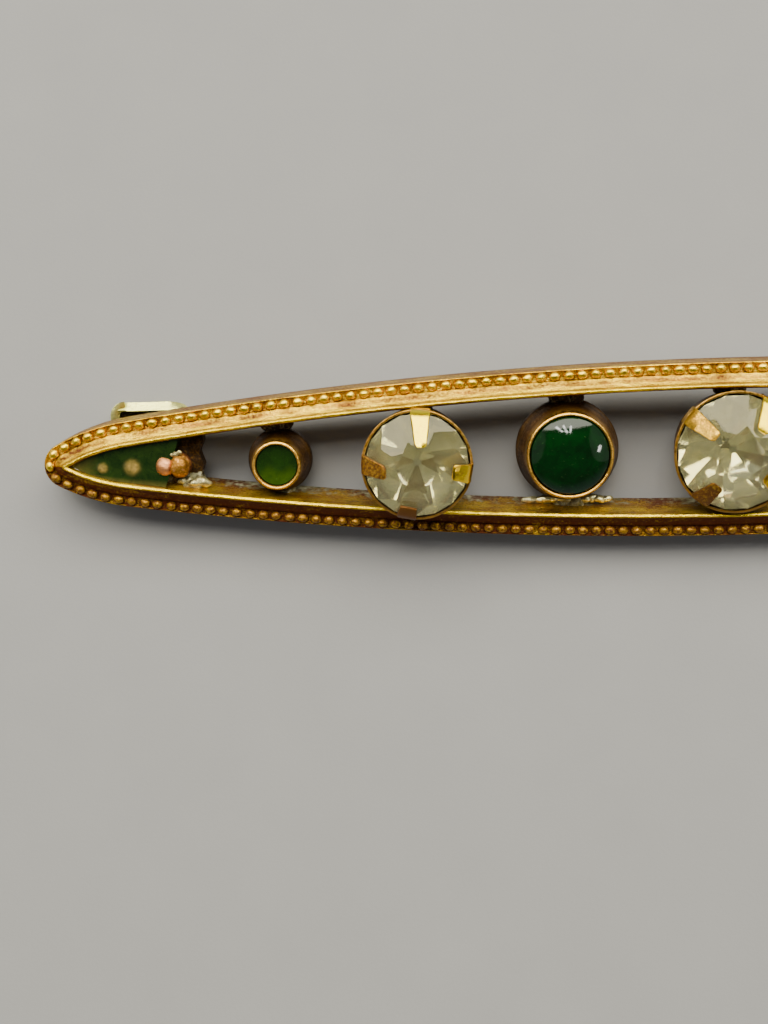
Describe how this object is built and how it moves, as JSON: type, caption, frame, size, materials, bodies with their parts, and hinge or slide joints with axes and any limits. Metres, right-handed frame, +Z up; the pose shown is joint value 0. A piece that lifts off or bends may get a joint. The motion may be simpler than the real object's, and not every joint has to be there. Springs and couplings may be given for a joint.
{
  "type": "bar pin",
  "caption": "Long openwork bar pin of two bowed rails with beaded edges, which hold clear faceted pastes, green glass and enamelled tips, with a catch and pin stem behind.",
  "frame": {"origin": "centre of the underside of the part's box, on the surface that it lies on", "axes": "+X along the pin towards the hinge end, +Z up from the surface, +Y across towards the rail that is raised on the catch and hinge"},
  "size_m": [0.0616, 0.008, 0.006],
  "materials": {
    "gilt_brass": "worn rosy gilding with brown grime in the recesses",
    "stem_metal": "pale drawn wire, lightly tarnished",
    "clear_paste": "polished facets over dull foil",
    "green_glass": "glossy deep green dome",
    "green_enamel": "glossy, brighter towards the lower rim",
    "tip_enamel": "glossy translucent dark green, chipped at the inner end"
  },
  "bodies": {
    "root": {"frame": "gilt_brass", "pin_stem": "stem_metal", "paste_centre": "clear_paste", "paste_left": "clear_paste", "paste_right": "clear_paste", "cabochon_left": "green_glass", "cabochon_right": "green_glass", "dot_left": "green_enamel", "dot_right": "green_enamel", "tip_enamel_left": "tip_enamel", "tip_enamel_right": "tip_enamel"}
  },
  "joints": []
}
